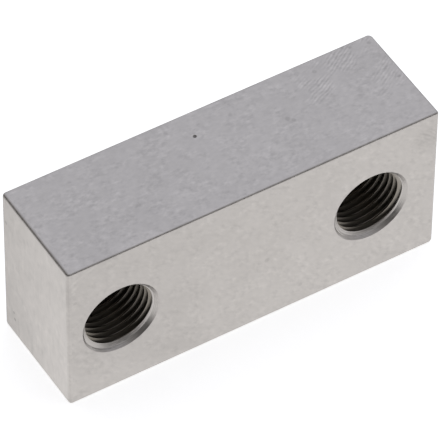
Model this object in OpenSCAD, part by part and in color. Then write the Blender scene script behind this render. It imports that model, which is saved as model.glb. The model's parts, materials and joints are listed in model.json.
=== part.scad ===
// Valve manifold blanking plate: a bar of aluminium with two blind tapped ports in its front face.
// Hollow screws through a manifold rail screw into the ports, so that the plate closes an unused valve station.
// X runs along the length, the ports open towards -Y, and the plate stands on a long narrow side at z = 0.

/* [Block] */
// Length of the block, from end to end
block_length = 50; // [30:0.5:120]
// Depth of the block, from the port face to the back
block_depth = 15; // [10:0.1:40]
// Height of the block, across the port face
block_height = 22.3; // [16:0.1:60]
// Radius that tumbling leaves on the outer edges
edge_radius = 0.35; // [0.1:0.05:1]

/* [Ports] */
// Distance from the left end to the axis of the left port
left_port_inset = 7; // [6.5:0.1:14]
// Distance from the right end to the axis of the right port
right_port_inset = 9; // [6.5:0.1:14]
// Diameter of the tapping drill, for a G1/8 pipe thread
tap_drill_d = 8.8; // [5:0.05:9]
// Point angle of the tapping drill
drill_point_angle = 118; // [90:1:140]
// Width of the countersink at each mouth, beyond the drilling
countersink_w = 0.72; // [0.2:0.02:1]
// Angle of the countersink, from side to side
countersink_angle = 90; // [60:5:120]
// Wall left between the drill point and the back face
back_wall = 2.4; // [1:0.1:5]

/* [Hidden] */
$fn = 96;

// How far a cutter runs past the face that it cuts
overcut = 1;

port_face_y = -block_depth / 2;
port_z = block_height / 2;
left_port_x = -block_length / 2 + left_port_inset;
right_port_x = block_length / 2 - right_port_inset;

drill_r = tap_drill_d / 2;
mouth_r = drill_r + countersink_w;
countersink_depth = countersink_w / tan(countersink_angle / 2);
drill_point_depth = drill_r / tan(drill_point_angle / 2);
drill_depth = block_depth - back_wall - drill_point_depth;

// Rectangle about the origin with a round corner of the edge radius at each corner
module rounded_rectangle(width, height) {
    square([width, height - 2 * edge_radius], center = true);
    square([width - 2 * edge_radius, height], center = true);
    for (x = [-1, 1], y = [-1, 1])
        translate([x * (width / 2 - edge_radius), y * (height / 2 - edge_radius)])
            circle(edge_radius);
}

// Bar about the origin with all twelve edges rounded: what the three rounded outlines have in common
module rounded_block() {
    intersection() {
        linear_extrude(block_height, center = true)
            rounded_rectangle(block_length, block_depth);
        rotate([90, 0, 0])
            linear_extrude(block_depth, center = true)
                rounded_rectangle(block_length, block_height);
        rotate([90, 0, 90])
            linear_extrude(block_length, center = true)
                rounded_rectangle(block_depth, block_height);
    }
}

// Blind port as one turned outline, with its mouth at z = 0 and its depth along +Z:
// the countersink, the wall of the tapping drill and the cone that the drill's point leaves
module port() {
    rotate_extrude()
        polygon([
            [0, -overcut],
            [mouth_r, -overcut],
            [mouth_r, 0],
            [drill_r, countersink_depth],
            [drill_r, drill_depth],
            [0, drill_depth + drill_point_depth]
        ]);
}

module blanking_plate() {
    color([0.74, 0.73, 0.72])
        difference() {
            translate([0, 0, block_height / 2])
                rounded_block();
            for (x = [left_port_x, right_port_x])
                translate([x, port_face_y, port_z])
                    rotate([-90, 0, 0])
                        port();
        }
}

blanking_plate();
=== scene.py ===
"""Looks of the valve manifold blanking plate: a tumbled aluminium bar with two blind ports tapped G1/8."""

import json
import math

import bmesh
import bpy
from mathutils import Matrix, Vector


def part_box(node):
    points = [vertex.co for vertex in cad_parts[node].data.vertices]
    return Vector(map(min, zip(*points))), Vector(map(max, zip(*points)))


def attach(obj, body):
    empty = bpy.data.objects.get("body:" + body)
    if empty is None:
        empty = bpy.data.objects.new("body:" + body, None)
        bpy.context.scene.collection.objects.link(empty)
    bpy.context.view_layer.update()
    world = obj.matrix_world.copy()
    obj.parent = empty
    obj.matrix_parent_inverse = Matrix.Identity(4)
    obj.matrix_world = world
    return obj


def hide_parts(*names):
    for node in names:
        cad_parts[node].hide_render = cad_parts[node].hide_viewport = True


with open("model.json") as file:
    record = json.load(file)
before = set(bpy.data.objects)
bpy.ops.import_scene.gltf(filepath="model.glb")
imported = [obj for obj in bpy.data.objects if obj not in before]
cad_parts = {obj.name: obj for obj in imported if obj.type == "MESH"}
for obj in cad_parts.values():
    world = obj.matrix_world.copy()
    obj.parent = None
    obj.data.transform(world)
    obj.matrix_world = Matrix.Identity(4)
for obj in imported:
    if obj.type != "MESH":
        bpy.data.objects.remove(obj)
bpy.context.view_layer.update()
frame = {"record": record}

NODE = "blanking_plate"
BODY = "root"
MM = 0.001

# Block and drilled ports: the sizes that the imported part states, and those that it doesn't
BLOCK_LOW, BLOCK_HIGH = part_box(NODE)
MOUNTS = {mount["name"]: mount for mount in frame["record"]["mounts"]}
PORTS = [MOUNTS["left_port"], MOUNTS["right_port"]]
EDGE_RADIUS = 0.33 * MM
LEFT_END_EDGE_RADIUS = 0.45 * MM
WORN_EDGE_RADIUS = 0.7 * MM
EDGE_SEGMENTS = 8
DRILL_POINT_ANGLE = math.radians(118)
# The tap pushes the soft metal of the crests a little inside the drilled wall
CREST_LIFT = 0.05 * MM
# The countersink ends in a flatter ledge: where the ledge starts, and how deep its inner rim lies
LEDGE_RADIUS = 4.72 * MM
LEDGE_DEPTH = 0.46 * MM
LEDGE_RIM_DEPTH = 0.69 * MM

# Pipe thread G1/8: rounded 55 degree form, cut by a tap that is a little over the thread's own diameter
PITCH = 0.907 * MM
TAP_RADIUS = 4.92 * MM
FLANK_ANGLE = math.radians(27.5)
ROOT_RADIUS = 0.1373 * PITCH
ROOT_STEPS = 10
# The tap's core runs free inside the drilled wall, and its last turns taper down to the core
TAP_CORE_RADIUS = 4.2 * MM
TAP_FULL_DEPTH = 7.5 * MM
TAP_LEAD_ANGLE = math.radians(20)
TAP_START_DEPTH = -1.0 * MM
# Turns of the helix past the tap's ends, where they lie flat on its end faces: in all, and before the start
SPARE_TURNS = 4
SPARE_TURNS_BEFORE = 3
# Depth of a thread groove's middle at the right of each port, where the angle round the axis is zero
GROOVE_DEPTHS = {"left_port": 0.89 * MM, "right_port": 0.77 * MM}

# Segments round a port, the drill's reach in front of the face, the angle from which an edge is crisp,
# and the distance within which points are the same
SEGMENTS = 144
OVERCUT = 1.0 * MM
SHARP_ANGLE = math.radians(15)
SAME_DISTANCE = 0.001 * MM
INTO_FRONT = Vector((0, 1, 0))
INTO_TOP = Vector((0, 0, -1))
INTO_LEFT_END = Vector((1, 0, 0))

# Finishes, as material places on the piece
MILLED = 0
FACED = 1
SAWN = 2
TURNED = 3
TAPPED = 4
ROUNDED = 5


def on_top(from_left, from_back):
    """Point of the top in the part's frame, from distances in millimetres."""
    return Vector((BLOCK_LOW.x + from_left * MM, BLOCK_HIGH.y - from_back * MM, BLOCK_HIGH.z))


def on_front(from_left, from_top):
    """Point of the front, likewise."""
    return Vector((BLOCK_LOW.x + from_left * MM, BLOCK_LOW.y, BLOCK_HIGH.z - from_top * MM))


def on_left_end(from_back, from_top):
    """Point of the left end, likewise."""
    return Vector((BLOCK_LOW.x, BLOCK_HIGH.y - from_back * MM, BLOCK_HIGH.z - from_top * MM))


# Dark spots: (finish, way into the face, place, radius in mm, depth of the dent in mm,
# share of light lost); a spot with a dent is wear, and a spot without depth only darkens the face
SPOTS = [
    (MILLED, INTO_TOP, on_top(23.6, 3.75), 0.24, 0.15, 0.80),
    (MILLED, INTO_TOP, on_top(34.3, 6.9), 0.42, 0.01, 0.20),
    (MILLED, INTO_TOP, on_top(34.8, 7.4), 0.34, 0.01, 0.18),
    (MILLED, INTO_TOP, on_top(20.9, 1.7), 0.34, 0.01, 0.14),
    (MILLED, INTO_TOP, on_top(28.9, 2.9), 0.30, 0.01, 0.12),
    (MILLED, INTO_TOP, on_top(41.0, 2.0), 0.34, 0.01, 0.14),
    (MILLED, INTO_TOP, on_top(46.7, 0.8), 0.26, 0.01, 0.14),
    (MILLED, INTO_TOP, on_top(49.0, 1.3), 0.30, 0.01, 0.16),
    (MILLED, INTO_TOP, on_top(49.1, 7.7), 0.30, 0.01, 0.16),
    (FACED, INTO_FRONT, on_front(26.7, 12.4), 0.42, 0.01, 0.14),
    (FACED, INTO_FRONT, on_front(31.4, 19.3), 0.32, 0.01, 0.12),
    (FACED, INTO_FRONT, on_front(0.95, 5.2), 0.30, 0.01, 0.12),
    # This spot darkens the front towards its upper right corner
    (FACED, INTO_FRONT, on_front(48.8, 3.6), 2.40, 0, 0.07),
    (SAWN, INTO_LEFT_END, on_left_end(0.9, 4.2), 0.32, 0.02, 0.22),
    (SAWN, INTO_LEFT_END, on_left_end(2.4, 19.5), 0.28, 0.02, 0.34),
    (SAWN, INTO_LEFT_END, on_left_end(2.2, 18.5), 0.24, 0.02, 0.26),
]
DENT_SEGMENTS = 20
# Steps of a dent's dished outline, as shares of its radius, from the lid above the face to its middle
DENT_STEPS = (1.2, 0.95, 0.7, 0.45, 0.2, 0)


def depth_axis(mount):
    """Point where the port's axis meets the front face."""
    x, _, z = mount["pos_m"]
    return Vector((x, BLOCK_LOW.y, z))


def around(origin, inward, angle, radius, depth):
    """Point round an axis from origin inward; on the front, angles run from right to top."""
    side = INTO_FRONT if inward == INTO_LEFT_END else INTO_LEFT_END
    other = side.cross(inward)
    return origin + (side * math.cos(angle) + other * math.sin(angle)) * radius + inward * depth


def new_piece(name, points, faces):
    """Mesh object in the scene."""
    mesh = bpy.data.meshes.new(name)
    mesh.from_pydata(points, [], faces)
    piece = bpy.data.objects.new(name, mesh)
    bpy.context.scene.collection.objects.link(piece)
    return piece


def close_mesh(mesh):
    """Welds points that coincide, fills open rings and turns every face outwards."""
    bm = bmesh.new()
    bm.from_mesh(mesh)
    bmesh.ops.remove_doubles(bm, verts=bm.verts, dist=SAME_DISTANCE)
    bmesh.ops.holes_fill(bm, edges=[edge for edge in bm.edges if edge.is_boundary], sides=0)
    bmesh.ops.recalc_face_normals(bm, faces=bm.faces)
    bm.to_mesh(mesh)
    bm.free()


def revolve(name, origin, inward, outline, segments, finishes):
    """Cutter turned round an axis: outline lists (radius, depth), with a finish for each stretch of it."""
    points = []
    for radius, depth in outline:
        for j in range(segments):
            points.append(around(origin, inward, math.tau * j / segments, radius, depth))
    faces = []
    for i in range(len(outline) - 1):
        for j in range(segments):
            k = (j + 1) % segments
            row, below = i * segments, (i + 1) * segments
            faces.append((row + j, row + k, below + k, below + j))
    cutter = new_piece(name, points, faces)
    for face in cutter.data.polygons:
        face.material_index = finishes[face.index // segments]
    close_mesh(cutter.data)
    return cutter


def apply_modifier(piece, modifier):
    """Makes the modifier's result the piece's own mesh."""
    bpy.context.view_layer.update()
    depsgraph = bpy.context.evaluated_depsgraph_get()
    mesh = bpy.data.meshes.new_from_object(piece.evaluated_get(depsgraph))
    piece.modifiers.remove(modifier)
    before = piece.data
    piece.data = mesh
    bpy.data.meshes.remove(before)


def cut(piece, cutter):
    """Takes the cutter's volume out of the piece."""
    modifier = piece.modifiers.new("cut", "BOOLEAN")
    modifier.operation = "DIFFERENCE"
    modifier.solver = "EXACT"
    modifier.object = cutter
    apply_modifier(piece, modifier)
    bpy.data.meshes.remove(cutter.data)


def meets(first, second):
    """Whether two coordinates are the same, but for rounding."""
    return abs(first - second) < SAME_DISTANCE


def rounded_block():
    """Bar with rounded edges and corners, rounder at its left end and at two worn edges."""
    bm = bmesh.new()
    size = BLOCK_HIGH - BLOCK_LOW
    centre = (BLOCK_HIGH + BLOCK_LOW) / 2
    bmesh.ops.create_cube(bm, size=1, matrix=Matrix.Translation(centre) @ Matrix.Diagonal((*size, 1)))
    weight = bm.edges.layers.float.new("bevel_weight_edge")
    for edge in bm.edges:
        middle = (edge.verts[0].co + edge.verts[1].co) / 2
        radius = EDGE_RADIUS
        at_back_or_base = meets(middle.y, BLOCK_HIGH.y) or meets(middle.z, BLOCK_LOW.z)
        if meets(middle.x, BLOCK_LOW.x):
            radius = LEFT_END_EDGE_RADIUS
        if meets(middle.x, BLOCK_HIGH.x) and at_back_or_base:
            radius = WORN_EDGE_RADIUS
        edge[weight] = radius / WORN_EDGE_RADIUS
    mesh = bpy.data.meshes.new("plate")
    bm.to_mesh(mesh)
    bm.free()
    piece = bpy.data.objects.new("plate", mesh)
    bpy.context.scene.collection.objects.link(piece)
    rounding = piece.modifiers.new("rounding", "BEVEL")
    rounding.limit_method = "WEIGHT"
    rounding.width = WORN_EDGE_RADIUS
    rounding.segments = EDGE_SEGMENTS
    apply_modifier(piece, rounding)
    return piece


def drill(mount):
    """Cutter for the countersink, its ledge, the drilled wall and the cone of the drill's point."""
    radius = mount["dims"]["r_mm"] * MM - CREST_LIFT
    wall_start = mount["pos_m"][1] - BLOCK_LOW.y + CREST_LIFT
    wall_end = wall_start + mount["dims"]["length_mm"] * MM
    mouth_radius = radius + wall_start
    mouth_slope = (mouth_radius - LEDGE_RADIUS) / LEDGE_DEPTH
    point_depth = wall_end + radius / math.tan(DRILL_POINT_ANGLE / 2)
    outline = [
        (0, -OVERCUT),
        (mouth_radius + mouth_slope * OVERCUT, -OVERCUT),
        (LEDGE_RADIUS, LEDGE_DEPTH),
        (radius, LEDGE_RIM_DEPTH),
        (radius, wall_end),
        (0, point_depth),
    ]
    finishes = [TURNED, TURNED, TURNED, TAPPED, TAPPED]
    return revolve("drill", depth_axis(mount), INTO_FRONT, outline, SEGMENTS, finishes)


def groove_outline():
    """One groove of the thread: (offset along the axis from the groove's middle, radius)."""
    sharp_radius = TAP_RADIUS - ROOT_RADIUS + ROOT_RADIUS / math.sin(FLANK_ANGLE)
    half_core = (sharp_radius - TAP_CORE_RADIUS) * math.tan(FLANK_ANGLE)
    turn = math.pi / 2 - FLANK_ANGLE
    outline = [(-half_core, TAP_CORE_RADIUS)]
    for step in range(ROOT_STEPS + 1):
        angle = turn * (2 * step / ROOT_STEPS - 1)
        out = TAP_RADIUS - ROOT_RADIUS + ROOT_RADIUS * math.cos(angle)
        outline.append((ROOT_RADIUS * math.sin(angle), out))
    outline.append((half_core, TAP_CORE_RADIUS))
    return outline


def tap(mount):
    """Cutter for a right-hand thread: rows of points along the helix, with a lead at the inner end."""
    origin = depth_axis(mount)
    outline = groove_outline()
    lead_length = (TAP_RADIUS - TAP_CORE_RADIUS) / math.tan(TAP_LEAD_ANGLE)
    end_depth = TAP_FULL_DEPTH + lead_length
    turns = math.ceil((end_depth - TAP_START_DEPTH) / PITCH) + SPARE_TURNS
    turns_before = math.ceil(SPARE_TURNS_BEFORE - TAP_START_DEPTH / PITCH)
    first_groove = GROOVE_DEPTHS[mount["name"]] - PITCH * turns_before
    points = []
    for turn in range(turns):
        for offset, radius in outline:
            for j in range(SEGMENTS):
                angle = math.tau * (j + 0.5) / SEGMENTS
                depth = first_groove + PITCH * (turn + 1 - angle / math.tau) + offset
                lead = max(0, depth - TAP_FULL_DEPTH) * math.tan(TAP_LEAD_ANGLE)
                out = max(TAP_CORE_RADIUS, radius - lead)
                if not TAP_START_DEPTH < depth < end_depth:
                    depth = min(max(depth, TAP_START_DEPTH), end_depth)
                    out = TAP_CORE_RADIUS
                points.append(around(origin, INTO_FRONT, angle, out, depth))
    per_turn = len(outline)
    faces = []
    for i in range(turns * per_turn - 1):
        for j in range(SEGMENTS):
            near = i * SEGMENTS + j
            if j < SEGMENTS - 1:
                far = near + 1
            elif i >= per_turn:
                far = (i - per_turn) * SEGMENTS
            else:
                continue
            faces.append((near, far, far + SEGMENTS, near + SEGMENTS))
    cutter = new_piece("tap", points, faces)
    for face in cutter.data.polygons:
        face.material_index = TAPPED
    close_mesh(cutter.data)
    return cutter


def dent(finish, inward, place, radius, depth):
    """Cutter for a small dished dent."""
    outline = [(step * radius * MM, (1 - step * step) * depth * MM) for step in DENT_STEPS]
    lid = (0, outline[0][1])
    return revolve("dent", place, inward, [lid, *outline], DENT_SEGMENTS, [finish] * len(outline))


def shade_edges(piece):
    """Smooth curves, crisp machined edges, and flat faces that stay flat beside their rounded edges."""
    mesh = piece.data
    mesh.polygons.foreach_set("use_smooth", [True] * len(mesh.polygons))
    mesh.set_sharp_from_angle(angle=SHARP_ANGLE)
    modifier = piece.modifiers.new("flat_faces", "WEIGHTED_NORMAL")
    modifier.keep_sharp = True


# Metal: colours and grain of the tumbled surface
METAL_COLOR = Vector((0.592, 0.563, 0.542))
METAL_ROUGHNESS = 0.42
TAPPED_ROUGHNESS = 0.35
# Light that each finish gives back, where the sawn ends' higher tone is painted light that makes them
# lighter, how strong its grain is, and the grain's size along each axis
FINISH_TONES_AND_PAINTED_LIGHT = {MILLED: 1.0, FACED: 1.01, SAWN: 1.125, TURNED: 1.0, TAPPED: 1.0, ROUNDED: 1.0}
FINISH_GRAINS = {MILLED: 1.1, FACED: 1.0, SAWN: 0.95, TURNED: 0.8, TAPPED: 0.5, ROUNDED: 0.8}
ROUND_GRAIN = Vector((0.6, 0.5, 0.5)) * MM
GRAIN_SIZES = {
    MILLED: Vector((0.7, 0.5, 0.5)) * MM,
    FACED: Vector((0.85, 0.5, 0.75)) * MM,
    SAWN: Vector((0.8, 0.8, 1.4)) * MM,
    TURNED: ROUND_GRAIN,
    TAPPED: ROUND_GRAIN,
    ROUNDED: ROUND_GRAIN,
}
GRAIN_TONE = 0.40
GRAIN_HEIGHT = 0.008 * MM
GRAIN_ROUGHNESS = 0.12
# Grain and tool marks come in patches, from faint to strong
PATCH_SIZE = 1.8 * MM
PATCH_LIMITS = (0.38, 0.62)
PATCH_STRENGTHS = (0.5, 1.5)
CLOUD_SIZE = 4.0 * MM
CLOUD_TONES = {MILLED: 0.14, FACED: 0.14, SAWN: 0.14, TURNED: 0.14, TAPPED: 0.14, ROUNDED: 0.45}
# The front's grain leans: it drops by this much for each length to the right
FACED_LEAN = 0.5
# Faint streaks along the top
MILLED_STREAK_SIZE = Vector((7.0, 0.6, 0.6)) * MM
MILLED_STREAK_SHARE = 0.5
# A face is flat where this much of its normal lies along one axis. Rounded edges get painted shade, darker
# where they lean most from the flat faces
FLAT_SHARE = 0.999
EDGE_SHADE_SHARES = (0.71, 0.97)
EDGE_SHADE_TONE = 0.92
# Rings that a tool left: (centre, spacing, strength, radii between which they come, radii between which
# they go, way from the centre in which they show, distances that way between which they come);
# spacing, radii and distances are in millimetres
MILLING_CENTRE = on_top(19.7, -37.7)
MILLED_RINGS = [
    (MILLING_CENTRE, 0.42, 1.0, (42.5, 45.0), (47.5, 49.5), (1, 0, 0), (16, 21)),
    (MILLING_CENTRE, 0.42, 0.8, (50.5, 52.0), (54.0, 55.5), (1, 0, 0), (25, 28)),
]
FACED_RINGS = [
    (depth_axis(PORTS[0]), 0.9, 0.6, (9.8, 10.4), (11.2, 11.8), (-0.6, 0, 0.8), (8, 10)),
    (depth_axis(PORTS[1]), 0.5, 0.6, (9.6, 10.2), (11.6, 12.2), (0.77, 0, 0.64), (9.5, 10.8)),
]
RING_UNEVENNESS = 3.5
RING_TONE = 0.15
RING_HEIGHT = 0.003 * MM
# Tool marks are lost in places
MARK_STRENGTHS = (0.1, 1.4)
# Upright streaks of the saw on the ends
STREAK_SIZE = Vector((0.5, 0.5, 9.0)) * MM
STREAK_TONE = 0.16
STREAK_HEIGHT = 0.003 * MM
# Fine turned lines in the countersink
TURNED_SPACING = 0.15 * MM
TURNED_UNEVENNESS = 2.0
TURNED_TONE = 0.16
TURNED_HEIGHT = 0.003 * MM
# The thread gets painted shade: darker and warmer the deeper it lies in the port
THREAD_SHADE_COLOR = Vector((0.305, 0.278, 0.243))
THREAD_SHADE_DEPTHS = (0.45 * MM, 1.2 * MM)
# A spot's darkness is full inside the first of these shares of its radius and gone outside the second
SPOT_SHARES = (0.4, 1.2)
# A wave texture's own count of waves in each unit at a scale of one
WAVES_AT_SCALE_ONE = 20 / math.tau


def make(tree, kind, inputs=None, **settings):
    """Adds a node: settings are its options, inputs its sockets by name or number, as values or links."""
    node = tree.nodes.new(kind)
    for name, value in settings.items():
        setattr(node, name, value)
    for key, value in (inputs or {}).items():
        if isinstance(value, bpy.types.NodeSocket):
            tree.links.new(value, node.inputs[key])
        else:
            node.inputs[key].default_value = value
    return node


def calculate(tree, operation, first, second=0.0, third=0.0):
    """Number that an operation on numbers gives."""
    return make(tree, "ShaderNodeMath", {0: first, 1: second, 2: third}, operation=operation).outputs[0]


def centred(tree, value):
    """Moves a value between zero and one to between minus and plus a half."""
    return calculate(tree, "SUBTRACT", value, 0.5)


def fade(tree, value, start, end, low=0.0, high=1.0):
    """Goes smoothly from low at start to high at end."""
    inputs = {"Value": value, "From Min": start, "From Max": end, "To Min": low, "To Max": high}
    node = make(tree, "ShaderNodeMapRange", inputs, interpolation_type="SMOOTHSTEP")
    return node.outputs["Result"]


def noise(tree, place, size):
    """Noise between zero and one, with features of about this size."""
    return make(tree, "ShaderNodeTexNoise", {"Vector": place, "Scale": 1 / size}).outputs["Fac"]


def displace(tree, operation, first, second=(0, 0, 0)):
    """Vector that a vector operation gives."""
    return make(tree, "ShaderNodeVectorMath", {0: first, 1: second}, operation=operation).outputs["Vector"]


def measure(tree, operation, first, second=(0, 0, 0)):
    """Number that a vector operation gives."""
    return make(tree, "ShaderNodeVectorMath", {0: first, 1: second}, operation=operation).outputs["Value"]


def stretched_noise(tree, place, sizes):
    """Noise with its own size along each axis."""
    return noise(tree, displace(tree, "DIVIDE", place, sizes), 1)


def waves(tree, place, spacing, unevenness, **settings):
    """Wave between minus and plus a half."""
    inputs = {"Vector": place, "Scale": 1 / (spacing * WAVES_AT_SCALE_ONE), "Distortion": unevenness}
    wave = make(tree, "ShaderNodeTexWave", inputs, **settings).outputs["Fac"]
    return centred(tree, wave)


def coordinate(tree, place, axis):
    """One coordinate of a vector."""
    return make(tree, "ShaderNodeSeparateXYZ", {0: place}).outputs[axis]


def leaning(tree, place, lean):
    """Place that is raised the more it lies to the right."""
    inputs = {0: coordinate(tree, place, "X"), 1: (0, 0, lean), 2: place}
    return make(tree, "ShaderNodeVectorMath", inputs, operation="MULTIPLY_ADD").outputs["Vector"]


def ring_marks(tree, place, belts):
    """Rings round each belt's centre, only inside the belt and on its own side of the centre."""
    marks = 0.0
    for centre, spacing, most, come, go, way, reach in belts:
        offset = displace(tree, "SUBTRACT", place, centre)
        radius = measure(tree, "LENGTH", offset)
        along = measure(tree, "DOT_PRODUCT", offset, way)
        coming = fade(tree, radius, *(limit * MM for limit in come), 0.0, most)
        going = fade(tree, radius, *(limit * MM for limit in go), 1.0, 0.0)
        beside = fade(tree, along, *(limit * MM for limit in reach))
        strength = calculate(tree, "MULTIPLY", calculate(tree, "MULTIPLY", coming, going), beside)
        lines = waves(
            tree, offset, spacing * MM, RING_UNEVENNESS, wave_type="RINGS", rings_direction="SPHERICAL"
        )
        marks = calculate(tree, "MULTIPLY_ADD", lines, strength, marks)
    return marks


def milled_marks(tree, place):
    """Faint streaks along the bar, and arcs of the milling cutter towards the right end."""
    streaks = centred(tree, stretched_noise(tree, place, MILLED_STREAK_SIZE))
    arcs = ring_marks(tree, place, MILLED_RINGS)
    lines = calculate(tree, "MULTIPLY_ADD", streaks, MILLED_STREAK_SHARE, arcs)
    return lines, RING_TONE, RING_HEIGHT


def faced_marks(tree, place):
    """Rings round both ports in the upper corners, where the facing tool ran."""
    return ring_marks(tree, place, FACED_RINGS), RING_TONE, RING_HEIGHT


def sawn_marks(tree, place):
    """Upright streaks."""
    streaks = centred(tree, stretched_noise(tree, place, STREAK_SIZE))
    return streaks, STREAK_TONE, STREAK_HEIGHT


def turned_marks(tree, place):
    """Lines round the countersink, one behind the other along the port's axis."""
    lines = waves(tree, place, TURNED_SPACING, TURNED_UNEVENNESS, wave_type="BANDS", bands_direction="Y")
    return lines, TURNED_TONE, TURNED_HEIGHT


def thread_painted_shade(tree, place):
    """Colour of the thread, with painted shade by its depth."""
    deep = fade(tree, coordinate(tree, place, "Y"), *(BLOCK_LOW.y + depth for depth in THREAD_SHADE_DEPTHS))
    inputs = {0: deep, 1: THREAD_SHADE_COLOR - METAL_COLOR, 2: METAL_COLOR}
    return make(tree, "ShaderNodeVectorMath", inputs, operation="MULTIPLY_ADD").outputs["Vector"]


def painted_edge_shade(tree, tone):
    """Painted shade on a rounded edge: less light the more it leans from the nearest flat face."""
    normal = make(tree, "ShaderNodeNewGeometry").outputs["True Normal"]
    sides = displace(tree, "ABSOLUTE", normal)
    greatest = calculate(tree, "MAXIMUM", coordinate(tree, sides, "X"), coordinate(tree, sides, "Y"))
    greatest = calculate(tree, "MAXIMUM", greatest, coordinate(tree, sides, "Z"))
    return calculate(tree, "MULTIPLY", tone, fade(tree, greatest, *EDGE_SHADE_SHARES, EDGE_SHADE_TONE, 1.0))


def spot_tone(tree, place, tone, finish):
    """Darkens the finish's own spots."""
    for spot_finish, _, centre, radius, _, loss in SPOTS:
        if spot_finish != finish:
            continue
        distance = measure(tree, "DISTANCE", place, centre)
        light = fade(tree, distance, *(share * radius * MM for share in SPOT_SHARES), 1 - loss, 1.0)
        tone = calculate(tree, "MULTIPLY", tone, light)
    return tone


def metal(name, finish, marks, roughness):
    """Tumbled aluminium: fine grain, soft clouds, the cutter's marks and dark spots, and painted light and
    shade on some finishes.
    """
    material = bpy.data.materials.new(name)
    material.use_nodes = True
    tree = material.node_tree
    shader = tree.nodes["Principled BSDF"]
    shader.inputs["Metallic"].default_value = 1
    place = make(tree, "ShaderNodeTexCoord").outputs["Object"]
    patches = noise(tree, place, PATCH_SIZE)
    grain_place = leaning(tree, place, FACED_LEAN) if finish == FACED else place
    grain = centred(tree, stretched_noise(tree, grain_place, GRAIN_SIZES[finish]))
    grain = calculate(tree, "MULTIPLY", grain, fade(tree, patches, *PATCH_LIMITS, *PATCH_STRENGTHS))
    clouds = centred(tree, noise(tree, place, CLOUD_SIZE))
    # The tone starts from each finish's own, which for the sawn ends holds painted light
    tone = calculate(tree, "MULTIPLY_ADD", grain, GRAIN_TONE * FINISH_GRAINS[finish], FINISH_TONES_AND_PAINTED_LIGHT[finish])
    tone = calculate(tree, "MULTIPLY_ADD", clouds, CLOUD_TONES[finish], tone)
    height = calculate(tree, "MULTIPLY", grain, GRAIN_HEIGHT * FINISH_GRAINS[finish])
    if marks:
        lines, mark_tone, mark_height = marks(tree, place)
        lines = calculate(tree, "MULTIPLY", lines, fade(tree, patches, *PATCH_LIMITS, *MARK_STRENGTHS))
        tone = calculate(tree, "MULTIPLY_ADD", lines, mark_tone, tone)
        height = calculate(tree, "MULTIPLY_ADD", lines, mark_height, height)
    # Rounded edges get painted shade
    if finish == ROUNDED:
        tone = painted_edge_shade(tree, tone)
    tone = spot_tone(tree, place, tone, finish)
    # The thread's colour holds painted shade that deepens into the port
    color = thread_painted_shade(tree, place) if finish == TAPPED else METAL_COLOR
    toned = make(tree, "ShaderNodeVectorMath", {0: color, "Scale": tone}, operation="SCALE")
    tree.links.new(toned.outputs["Vector"], shader.inputs["Base Color"])
    rough = calculate(tree, "MULTIPLY_ADD", grain, GRAIN_ROUGHNESS, roughness)
    tree.links.new(rough, shader.inputs["Roughness"])
    bump = make(tree, "ShaderNodeBump", {"Strength": 1.0, "Distance": 1.0, "Height": height})
    tree.links.new(bump.outputs["Normal"], shader.inputs["Normal"])
    return material


def blanking_plate():
    """The whole plate: the bar, its finishes, and what was cut and worn out of it."""
    piece = rounded_block()
    for finish, name, marks, roughness in [
        (MILLED, "milled_aluminium", milled_marks, METAL_ROUGHNESS),
        (FACED, "faced_aluminium", faced_marks, METAL_ROUGHNESS),
        (SAWN, "sawn_aluminium", sawn_marks, METAL_ROUGHNESS),
        (TURNED, "turned_aluminium", turned_marks, METAL_ROUGHNESS),
        (TAPPED, "tapped_aluminium", None, TAPPED_ROUGHNESS),
        (ROUNDED, "rounded_aluminium", None, METAL_ROUGHNESS),
    ]:
        piece.data.materials.append(metal(name, finish, marks, roughness))
    for face in piece.data.polygons:
        sides = [abs(part) for part in face.normal]
        flat = max(sides) > FLAT_SHARE
        face.material_index = [SAWN, FACED, MILLED][sides.index(max(sides))] if flat else ROUNDED
    for finish, inward, place, radius, depth, _ in SPOTS:
        if depth:
            cut(piece, dent(finish, inward, place, radius, depth))
    for mount in PORTS:
        cut(piece, drill(mount))
        cut(piece, tap(mount))
    shade_edges(piece)
    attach(piece, BODY)
    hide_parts(NODE)
    return piece


# Camera: the picture's middle, the direction that it looks along and its long lens
AIM = Vector((-0.22, -0.10, 10.96)) * MM
AZIMUTH = math.radians(31.89)
ELEVATION = math.radians(47.33)
ROLL = math.radians(0.69)
DISTANCE = 618.6 * MM
LENS_MM = 433.5
SENSOR_MM = 36
NEAREST_SEEN = 0.01
FARTHEST_SEEN = 10


def camera():
    """Camera that sees the plate as the photo does."""
    data = bpy.data.cameras.new("camera")
    data.lens = LENS_MM
    data.sensor_width = SENSOR_MM
    data.clip_start = NEAREST_SEEN
    data.clip_end = FARTHEST_SEEN
    look = Vector((
        math.sin(AZIMUTH) * math.cos(ELEVATION),
        math.cos(AZIMUTH) * math.cos(ELEVATION),
        -math.sin(ELEVATION),
    ))
    level = Vector((math.cos(AZIMUTH), -math.sin(AZIMUTH), 0))
    right = level * math.cos(ROLL) + level.cross(look) * math.sin(ROLL)
    up = right.cross(look)
    item = bpy.data.objects.new("camera", data)
    item.matrix_world = Matrix((right, up, -look)).transposed().to_4x4()
    item.location = AIM - look * DISTANCE
    bpy.context.scene.collection.objects.link(item)
    bpy.context.scene.camera = item


# Floor: white paper with a glow that only the camera sees. Metal mirrors it as white that falls off
# towards the back
FLOOR_HALF = 1.5
FLOOR_COLOR = (0.9, 0.9, 0.9, 1)
FLOOR_GLOW = 0.7
FLOOR_FADE = (-12 * MM, 14 * MM)
FLOOR_LEVELS = (1.0, 0.69)
# Beside the left end the falloff runs along a slant: this much farther back for each length to the left
FLOOR_SLANT = 1.9
# The mirrored white also falls off far to the left and to the right
FLOOR_FAR = (57 * MM, 108 * MM)
FLOOR_FAR_LEVEL = 0.38


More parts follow.
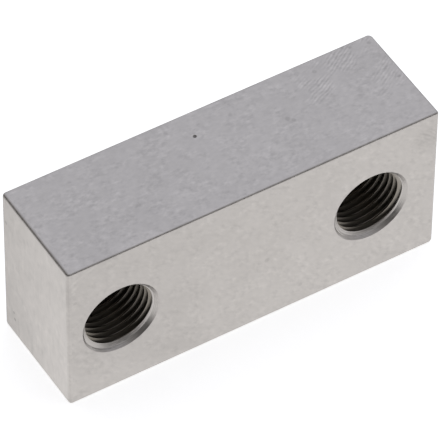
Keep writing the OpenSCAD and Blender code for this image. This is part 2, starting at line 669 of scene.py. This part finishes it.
def floor():
    """Sheet of paper that the plate stands on."""
    corners = [(-FLOOR_HALF, -FLOOR_HALF, 0), (FLOOR_HALF, -FLOOR_HALF, 0)]
    corners += [(FLOOR_HALF, FLOOR_HALF, 0), (-FLOOR_HALF, FLOOR_HALF, 0)]
    item = new_piece("floor", corners, [(0, 1, 2, 3)])
    material = bpy.data.materials.new("floor")
    material.use_nodes = True
    tree = material.node_tree
    tree.nodes.clear()
    path = make(tree, "ShaderNodeLightPath").outputs
    paper = make(tree, "ShaderNodeBsdfDiffuse", {"Color": FLOOR_COLOR}).outputs[0]
    glow = make(tree, "ShaderNodeEmission", {"Strength": FLOOR_GLOW}).outputs[0]
    lit = make(tree, "ShaderNodeAddShader", {0: paper, 1: glow}).outputs[0]
    seen = make(tree, "ShaderNodeMixShader", {0: path["Is Camera Ray"], 1: paper, 2: lit}).outputs[0]
    place = make(tree, "ShaderNodeNewGeometry").outputs["Position"]
    along = coordinate(tree, place, "X")
    beside = calculate(tree, "MINIMUM", calculate(tree, "SUBTRACT", along, BLOCK_LOW.x), 0.0)
    behind = calculate(tree, "MULTIPLY_ADD", beside, FLOOR_SLANT, coordinate(tree, place, "Y"))
    level = fade(tree, behind, *FLOOR_FADE, *FLOOR_LEVELS)
    far = fade(tree, calculate(tree, "ABSOLUTE", along), *FLOOR_FAR, 1.0, FLOOR_FAR_LEVEL)
    level = calculate(tree, "MULTIPLY", level, far)
    white = make(tree, "ShaderNodeEmission", {"Strength": level}).outputs[0]
    mirrored = calculate(tree, "MAXIMUM", path["Is Glossy Ray"], path["Is Transmission Ray"])
    surface = make(tree, "ShaderNodeMixShader", {0: mirrored, 1: seen, 2: white}).outputs[0]
    make(tree, "ShaderNodeOutputMaterial", {"Surface": surface})
    item.data.materials.append(material)


# Studio: one broad soft light above, behind and to the right, which fades towards the front
LIGHT_AXIS = Vector((0.45, 0.35, 0.82)).normalized()
COOL = (0.967, 0.99, 1.07)
WARM = (1.03, 1.0, 0.98)
# Light by direction: (how far along the axis, from -1 to 1, level, tint)
LIGHT_STOPS = [
    (-0.12, 0.045, WARM),
    (0.0, 0.095, WARM),
    (0.16, 0.17, WARM),
    (0.28, 0.235, WARM),
    (0.42, 0.40, WARM),
    (0.7, 0.64, COOL),
    (0.96, 0.755, COOL),
]


def studio():
    """Light by direction, with white behind the object for the camera."""
    world = bpy.data.worlds.new("studio")
    bpy.context.scene.world = world
    world.use_nodes = True
    tree = world.node_tree
    tree.nodes.clear()
    place = make(tree, "ShaderNodeTexCoord").outputs["Generated"]
    along = measure(tree, "DOT_PRODUCT", place, LIGHT_AXIS)
    share = make(tree, "ShaderNodeMapRange", {"Value": along, "From Min": -1.0}).outputs["Result"]
    ramp = make(tree, "ShaderNodeValToRGB", {"Fac": share})
    stops = ramp.color_ramp.elements
    while len(stops) < len(LIGHT_STOPS):
        stops.new(0.5)
    for stop, (position, level, tint) in zip(stops, LIGHT_STOPS):
        stop.position = (position + 1) / 2
        stop.color = (*(level * part for part in tint), 1)
    light = make(tree, "ShaderNodeBackground", {"Color": ramp.outputs["Color"]}).outputs[0]
    white = make(tree, "ShaderNodeBackground", {"Color": (1, 1, 1, 1)}).outputs[0]
    eye = make(tree, "ShaderNodeLightPath").outputs["Is Camera Ray"]
    seen = make(tree, "ShaderNodeMixShader", {0: eye, 1: light, 2: white}).outputs[0]
    make(tree, "ShaderNodeOutputWorld", {"Surface": seen})
    bpy.context.scene.view_settings.view_transform = "Standard"


camera()
blanking_plate()
floor()
studio()
